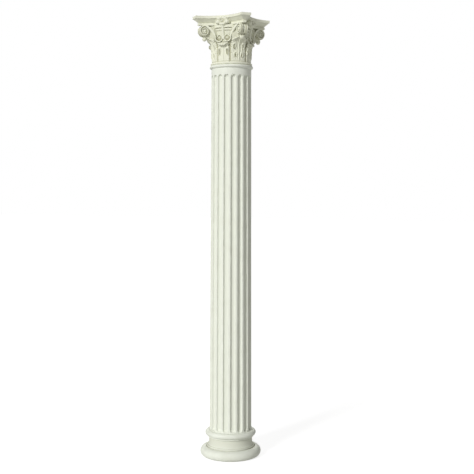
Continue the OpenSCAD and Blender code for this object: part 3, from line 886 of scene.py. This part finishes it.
def scroll_skin(c, slab_z):
    """The strap of one double scroll, from the eye at the corner to the eye on the side.

    Its path is a spiral whose radius shrinks evenly by ratio with the angle, a cubic bend, and a
    second spiral. It gets thinner towards both eyes and swells along the bend, and it deepens there
    to reach back into the bell.
    """
    places = scroll_places(c, slab_z)
    volute_r = c.volute_r - c.strap_t / 2
    helix_r = c.helix_r - c.strap_t / 2
    helix_start = math.radians(10)
    share = np.linspace(1, 0, 130)
    volute = spiral(places.volute_eye, places.inward, volute_r * c.volute_end ** share,
                    QUARTER - 2 * math.pi * c.volute_turns * share)
    start = volute[-1]
    end = spiral(places.helix_eye, SIDEWAYS, np.array([helix_r]), np.array([helix_start]))[0]
    t = np.linspace(0, 1, 52)
    strap = bend(start, start - c.strap_pull_out * places.inward, end + c.strap_pull_down * UP, end, t)
    inner = np.linspace(0, 1, 92)
    helix = spiral(places.helix_eye, SIDEWAYS, helix_r * c.helix_end ** inner,
                   helix_start - 2 * math.pi * c.helix_turns * inner)
    path = np.vstack([volute, strap[1:], helix[1:]])

    t, inner, half = t[1:], inner[1:], c.strap_w / 2
    along_volute = np.full(len(volute), half)
    width_way = np.vstack([np.repeat(places.outward[None], len(volute), 0),
                           places.outward + t[:, None] * (FACING - places.outward),
                           np.repeat(FACING[None], len(inner), 0)])
    front = np.concatenate([along_volute, np.full(len(t), half), half - c.helix_sink * inner])
    back = np.concatenate([along_volute, half + c.strap_deepen * t,
                           np.full(len(inner), half + c.strap_deepen)])
    thick = c.strap_t * np.concatenate([1 - c.eye_thinning * share, 1 + c.strap_swell * np.sin(math.pi * t),
                                        1 - c.eye_thinning * inner])
    ahead = np.gradient(path, axis=0)
    above = np.cross(ahead, width_way)
    above /= np.linalg.norm(above, axis=1, keepdims=True)
    across = np.cross(above, ahead)
    across /= np.linalg.norm(across, axis=1, keepdims=True)
    off, rise, channel = strap_section(len(path), front, back, thick)
    points = path[:, None, :] + across[:, None, :] * off[..., None] + above[:, None, :] * rise[..., None]
    # Painted shade in the strap's channel.
    return Skin(points, 0.8 * channel, strip_caps=True)


def ball(middle, axis, radius, length_out, steps=14, around=28):
    """A stretched ball: rings of radius R sin(t) at middle + axis L cos(t), with small flat ends."""
    t = np.linspace(0.12, math.pi - 0.12, steps)[:, None]
    a = np.linspace(0, 2 * math.pi, around, endpoint=False)[None, :]
    axis = axis / np.linalg.norm(axis)
    one = np.cross(axis, UP)
    one /= np.linalg.norm(one)
    two = np.cross(axis, one)
    ring_r = radius * np.sin(t)
    return (middle + axis * (length_out * np.cos(t))[..., None] + one * (ring_r * np.cos(a))[..., None]
            + two * (ring_r * np.sin(a))[..., None])


def web_skin(c, slab_z):
    """Solid behind a pair of corner scrolls: upright rings that shrink from the bell to the eyes.

    Each ring is a rounded box, |y / w|^4 + |z / h|^4 = 1, whose foot and head run evenly from
    those at the bell to those at the eye. The width keeps to that at the bell and steps in where
    the scrolls begin, to stay behind their outer faces.
    """
    buried = 10 * MM
    eye_x = c.volute_reach - c.volute_r
    eye_z = slab_z + c.volute_sink - c.volute_r
    eye_w = c.strap_w + c.volute_groove / 2 - 8 * MM
    t = np.linspace(0, 1, 24)[:, None]
    a = np.linspace(0, 2 * math.pi, 64, endpoint=False)[None, :]
    half_w = eye_w + (c.web_w - eye_w) * (1 - smooth_step(0.30, 0.52, t))
    foot = (1 - t) * (eye_z - c.volute_r - c.web_foot) + t * (eye_z - c.volute_r + 10 * MM)
    head = slab_z + MM
    round_y = np.sign(np.cos(a)) * np.abs(np.cos(a)) ** 0.5
    round_z = np.sign(np.sin(a)) * np.abs(np.sin(a)) ** 0.5
    x = (c.bell_r - buried) * (1 - t) + t * (eye_x + buried)
    y = half_w * round_y
    z = (head + foot) / 2 + (head - foot) / 2 * round_z
    points = np.stack([np.broadcast_to(x, y.shape), y, z], axis=-1)
    # The whole web is painted as in shade.
    return Skin(points, np.full(points.shape[:2], 0.4))


def disc_skin(c, slab_z):
    """The plate inside one corner scroll, set back from the edges of its strap."""
    places = scroll_places(c, slab_z)
    around = 64
    half = c.strap_w / 2 - 6 * MM
    a = np.linspace(0, 2 * math.pi, around, endpoint=False)
    level = np.cross(UP, places.outward)
    ring = spiral(np.zeros(3), level, np.full(around, c.volute_r - c.strap_t / 2), a)
    points = np.stack([places.volute_eye + places.outward * off + ring for off in (-half, half)])
    # The plate inside the scroll is painted as in shade.
    return Skin(points, np.full(points.shape[:2], 0.6))


def eye_skins(c, slab_z):
    """The ball in a corner scroll, and the ball in an inner scroll with the dish round it, painted dark as
    shade.
    """
    places = scroll_places(c, slab_z)
    half = c.strap_w / 2
    dish = ball(places.helix_eye - FACING * 6 * MM, FACING, c.helix_r - 8 * MM, half)
    # The dish is painted as deep shade.
    return [Skin(dish, np.full(dish.shape[:2], 0.9)),
            Skin(ball(places.volute_eye, places.outward, c.volute_eye_r, half + MM)),
            Skin(ball(places.helix_eye - FACING * 8 * MM, FACING, c.helix_eye_r, half + 5 * MM))]


class COLUMN_OT_scrolls(bpy.types.Operator):
    """Sweep the eight double scrolls, with their eyes and the solid behind them."""

    bl_idname = "column.scrolls"
    bl_label = "Scrolls"

    def execute(self, context):
        c = context.scene.column_capital
        slab_z = slab_foot(context)
        one = [scroll_skin(c, slab_z), disc_skin(c, slab_z)] + eye_skins(c, slab_z)
        pair = one + [skin.moved(mirrored) for skin in one]
        web = web_skin(c, slab_z).moved(lambda p: turned(p, QUARTER / 2))
        make_piece("scroll_set", four_times(pair + [web]), capital_coat(context), "capital")
        return {"FINISHED"}


# ------------------------------------------------------ the slab, the flowers


def slab_outline(b, set_back):
    """Plan of the slab with every edge set back: four hollow sides, each an arc, and cut corners.

    A side's arc has its middle out past the side. It meets the cut corner where
    cos(a + 45 degrees) = off / radius.
    """
    steps = 30
    half = SLAB_SIDE / 2 - b.corner_w / math.sqrt(2)
    sag = SLAB_SIDE / 2 - b.mid
    curve_r = (half ** 2 + sag ** 2) / (2 * sag)
    corner_r = (SLAB_SIDE - b.corner_w / math.sqrt(2)) / math.sqrt(2)
    radius = curve_r + set_back
    off = (b.mid + curve_r) / math.sqrt(2) - corner_r + set_back
    end = math.acos(off / radius) - QUARTER / 2
    a = np.linspace(-end, end, steps)
    side = np.stack([b.mid + curve_r - radius * np.cos(a), radius * np.sin(a), np.zeros(steps)], axis=-1)
    return np.vstack([turned(side, k * QUARTER) for k in range(4)])


def slab_edge(b):
    """The moulding up the edge of the slab, as (set-back, height).

    A flat band, a step back to the foot of a long slope, and a second band flush with the edge.
    """
    slab_z = TOP_Z - b.height
    slope_foot = slab_z + b.low_band_h
    slope_head = TOP_Z - b.top_band_h
    edge = np.array([[b.low_band_in, slab_z], [b.low_band_in, slope_foot],
                     [b.slope_foot_in, slope_foot + MM], [b.slope_head_in, slope_head],
                     [0.0, slope_head + 0.5 * MM], [0.0, TOP_Z]])
    return soften(edge, 1.6 * MM, 0.9 * MM)


def slab_skin(b):
    """The slab: its plan, set back by an amount that follows the moulding up its edge."""
    around = 360
    edge = slab_edge(b)
    rings = []
    for set_back, z in edge:
        plan = slab_outline(b, max(set_back, 0.0))
        walk = np.linalg.norm(np.diff(np.vstack([plan, plan[:1]]), axis=0), axis=1).sum()
        ring = soften(plan, walk / around, 1.2 * MM, closed=True)
        ring[:, 2] = z
        rings.append(ring[:around])
    above_foot = edge[:, 1] - (TOP_Z - b.height + b.low_band_h)
    # Faint painted shade where the edge is set back most, at the foot of the slope.
    deep = smooth_step(0.0, b.slope_foot_in, edge[:, 0]) * smooth_step(0.0, 8 * MM, above_foot + 4 * MM)
    return Skin(np.stack(rings), np.repeat((0.05 * deep)[:, None], around, axis=1))


def flower_skin(b):
    """A broad lobed flower, seen face on. Its rings are ellipses whose reach dips between the petals.

    From the middle q = 0 out to the rim q = 1, the face is a round bud, exp(-(q / 0.19)^4), a ring
    groove, a swell along each petal with a fine vein, and a roll back at the rim.
    """
    around = 160
    z = TOP_Z - b.top_band_h / 4 - b.flower_h / 2
    a = np.linspace(0, 2 * math.pi, around, endpoint=False)[None, :]
    q = np.linspace(0.02, 1, 48)[:, None]
    petal = 0.5 + 0.5 * np.cos(b.petals * (a + QUARTER))
    reach = q * (1 - 0.15 * smooth_step(0.35, 1.0, q) * (1 - petal) ** 2)
    bud = np.exp(-(q / 0.19) ** 4)
    swell = smooth_step(0.20, 0.60, q) * (0.45 + 0.55 * petal ** 0.6)
    vein = -0.14 * petal ** 14 * smooth_step(0.3, 0.6, q)
    roll = -0.75 * smooth_step(0.78, 1.0, q) ** 1.6
    out = b.mid + b.flower_out * (0.85 * (bud + swell) + vein + roll)
    face = np.stack([out, reach * b.flower_w / 2 * np.cos(a), z + reach * b.flower_h / 2 * np.sin(a)],
                    axis=-1)
    back = face[-1:].copy()
    back[..., 0] = b.mid - b.slope_foot_in - 4 * MM
    points = np.vstack([face, back])
    # Painted shade where the flower's face lies low: in the ring groove and between the petals.
    low = np.clip(0.6 - 0.8 * (bud + swell), 0.0, 0.6)
    return Skin(points, np.vstack([low, low[-1:]]))


def stalk_skin(c, b, slab_z):
    """The stalk that carries a flower: it rises from the bell to the lip and thickens to a bulb."""
    helix_z = slab_z - c.helix_drop
    t = np.linspace(0, 1, 40)[:, None]
    a = np.linspace(0, 2 * math.pi, 24, endpoint=False)[None, :]
    x = (1 - t) * (bell_radius(c, slab_z, helix_z) - 2 * MM) + t * (c.lip_r - MM)
    z = helix_z - 8 * MM + t * (slab_z - helix_z + 12 * MM)
    bulb = b.bulb_out * np.exp(-((t - 0.93) / 0.09) ** 2)
    thick = b.stalk_foot_r + (b.stalk_head_r - b.stalk_foot_r) * t + bulb
    out = x + thick * np.cos(a)
    return Skin(np.stack([out, thick * np.sin(a), np.broadcast_to(z, out.shape)], axis=-1))


class COLUMN_OT_slab(bpy.types.Operator):
    """Make the top slab with its hollow sides and its moulded edge."""

    bl_idname = "column.slab"
    bl_label = "Top slab"

    def execute(self, context):
        make_piece("top_slab", [slab_skin(context.scene.column_slab)], capital_coat(context), "capital")
        return {"FINISHED"}


class COLUMN_OT_flowers(bpy.types.Operator):
    """Make the flower in the middle of each side, on its stalk."""

    bl_idname = "column.flowers"
    bl_label = "Flowers"

    def execute(self, context):
        b = context.scene.column_slab
        c = context.scene.column_capital
        one = [flower_skin(b), stalk_skin(c, b, slab_foot(context))]
        make_piece("flower_set", four_times(one), capital_coat(context), "capital")
        return {"FINISHED"}


# ----------------------------------------------------------------- the stage


def seen_white(tree):
    """A value of 1 for rays from the camera, or seen in a gloss or through glass, and 0 for light."""
    ray = add_node(tree, "ShaderNodeLightPath")
    either = add_node(tree, "ShaderNodeMath", {"operation": "MAXIMUM"},
                      {0: (ray, "Is Camera Ray"), 1: (ray, "Is Glossy Ray")})
    return add_node(tree, "ShaderNodeMath", {"operation": "MAXIMUM"},
                    {0: (either, "Value"), 1: (ray, "Is Transmission Ray")})


def make_world(stage):
    """White where it is seen, and an even light elsewhere."""
    world = bpy.data.worlds.new("studio")
    world.use_nodes = True
    tree = world.node_tree
    tree.nodes.clear()
    output = add_node(tree, "ShaderNodeOutputWorld")
    lit = add_node(tree, "ShaderNodeBackground", {},
                   {"Color": linear("#FDFCFA"), "Strength": stage.sky_light})
    seen = add_node(tree, "ShaderNodeBackground", {}, {"Color": linear("#FFFFFF"), "Strength": 1.0})
    both = add_node(tree, "ShaderNodeMixShader", {},
                    {"Fac": (seen_white(tree), "Value"), 1: (lit, 0), 2: (seen, 0)})
    tree.links.new(both.outputs["Shader"], output.inputs["Surface"])
    bpy.context.scene.world = world


def make_floor(stage):
    """A pale painted floor. It is seen white, and keeps the column's shadow faintly."""
    material, output = new_material("painted_studio_floor")
    tree = material.node_tree
    plain = add_node(tree, "ShaderNodeBsdfDiffuse", {}, {"Color": linear("#E6E6E4")})
    faint = add_node(tree, "ShaderNodeBsdfDiffuse", {}, {"Color": linear("#A8A8A8")})
    glow = add_node(tree, "ShaderNodeEmission", {},
                    {"Color": linear("#FFFFFF"), "Strength": stage.floor_glow})
    shown = add_node(tree, "ShaderNodeAddShader", {}, {0: (faint, 0), 1: (glow, 0)})
    both = add_node(tree, "ShaderNodeMixShader", {},
                    {"Fac": (seen_white(tree), "Value"), 1: (plain, 0), 2: (shown, 0)})
    tree.links.new(both.outputs["Shader"], output.inputs["Surface"])
    half = stage.floor_side / 2
    mesh = bpy.data.meshes.new("studio_floor")
    corners = [(-half, -half, FLOOR_Z), (half, -half, FLOOR_Z), (half, half, FLOOR_Z), (-half, half, FLOOR_Z)]
    mesh.from_pydata(corners, [], [(0, 1, 2, 3)])
    mesh.materials.append(material)
    floor = bpy.data.objects.new("studio_floor", mesh)
    bpy.context.scene.collection.objects.link(floor)


def make_lamp(name, turn, rise, spread, strength):
    """A soft lamp so far off that it lights the floor and the column evenly.

    It stands at a turn from -Y towards +X and at a rise above level.
    """
    lamp = bpy.data.lights.new(name, "SUN")
    lamp.angle = spread
    lamp.energy = strength
    towards = Vector((math.cos(rise) * math.sin(turn), -math.cos(rise) * math.cos(turn), math.sin(rise)))
    holder = bpy.data.objects.new(name, lamp)
    holder.rotation_euler = towards.to_track_quat("Z", "Y").to_euler()
    bpy.context.scene.collection.objects.link(holder)


def make_camera(stage):
    """The camera, at eye height in front of the column and a little to its right."""
    camera = bpy.data.cameras.new("camera")
    camera.sensor_width = 36.0
    camera.lens = stage.lens
    camera.clip_end = 200.0
    holder = bpy.data.objects.new("camera", camera)
    turn = stage.camera_turn
    place = Vector((stage.camera_away * math.sin(turn), -stage.camera_away * math.cos(turn), stage.camera_h))
    holder.matrix_world = (Matrix.Translation(place) @ Matrix.Rotation(turn - stage.camera_pan, 4, "Z")
                           @ Matrix.Rotation(QUARTER - stage.camera_tip, 4, "X")
                           @ Matrix.Rotation(stage.camera_roll, 4, "Z"))
    bpy.context.scene.collection.objects.link(holder)
    bpy.context.scene.camera = holder


class COLUMN_OT_stage(bpy.types.Operator):
    """Set the camera, the floor and the light."""

    bl_idname = "column.stage"
    bl_label = "Stage"

    def execute(self, context):
        stage = context.scene.column_stage
        make_camera(stage)
        make_world(stage)
        make_floor(stage)
        make_lamp("key", stage.camera_turn - stage.key_turn, stage.key_rise, stage.key_spread,
                  stage.key_light)
        make_lamp("fill", stage.camera_turn + math.pi, stage.fill_rise, stage.fill_spread, stage.fill_light)
        context.scene.view_settings.view_transform = "Standard"
        return {"FINISHED"}


class COLUMN_PT_sidebar(bpy.types.Panel):
    """Lists the steps in the sidebar of the 3D view."""

    bl_idname = "COLUMN_PT_sidebar"
    bl_label = "Fluted column"
    bl_space_type = "VIEW_3D"
    bl_region_type = "UI"
    bl_category = "Column"

    def draw(self, context):
        for step in STEPS:
            self.layout.operator(step.bl_idname, text=step.bl_label)


STEPS = (COLUMN_OT_stage, COLUMN_OT_base, COLUMN_OT_shaft, COLUMN_OT_bell, COLUMN_OT_leaves,
         COLUMN_OT_scrolls, COLUMN_OT_slab, COLUMN_OT_flowers)
GROUPS = {
    "column_base": ColumnBaseSizes,
    "column_shaft": ColumnShaftSizes,
    "column_capital": ColumnCapitalSizes,
    "column_slab": ColumnSlabSizes,
    "column_finish": ColumnFinish,
    "column_stage": ColumnStage,
}


def register():
    for name, group in GROUPS.items():
        bpy.utils.register_class(group)
        setattr(bpy.types.Scene, name, PointerProperty(type=group))
    for step in STEPS + (COLUMN_PT_sidebar,):
        bpy.utils.register_class(step)


def unregister():
    for step in STEPS + (COLUMN_PT_sidebar,):
        bpy.utils.unregister_class(step)
    for name, group in GROUPS.items():
        delattr(bpy.types.Scene, name)
        bpy.utils.unregister_class(group)


def main():
    """Registers the add-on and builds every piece."""
    register()
    bpy.ops.column.stage()
    bpy.ops.column.base()
    bpy.ops.column.shaft()
    bpy.ops.column.bell()
    bpy.ops.column.leaves()
    bpy.ops.column.scrolls()
    bpy.ops.column.slab()
    bpy.ops.column.flowers()


if __name__ == "__main__":
    main()
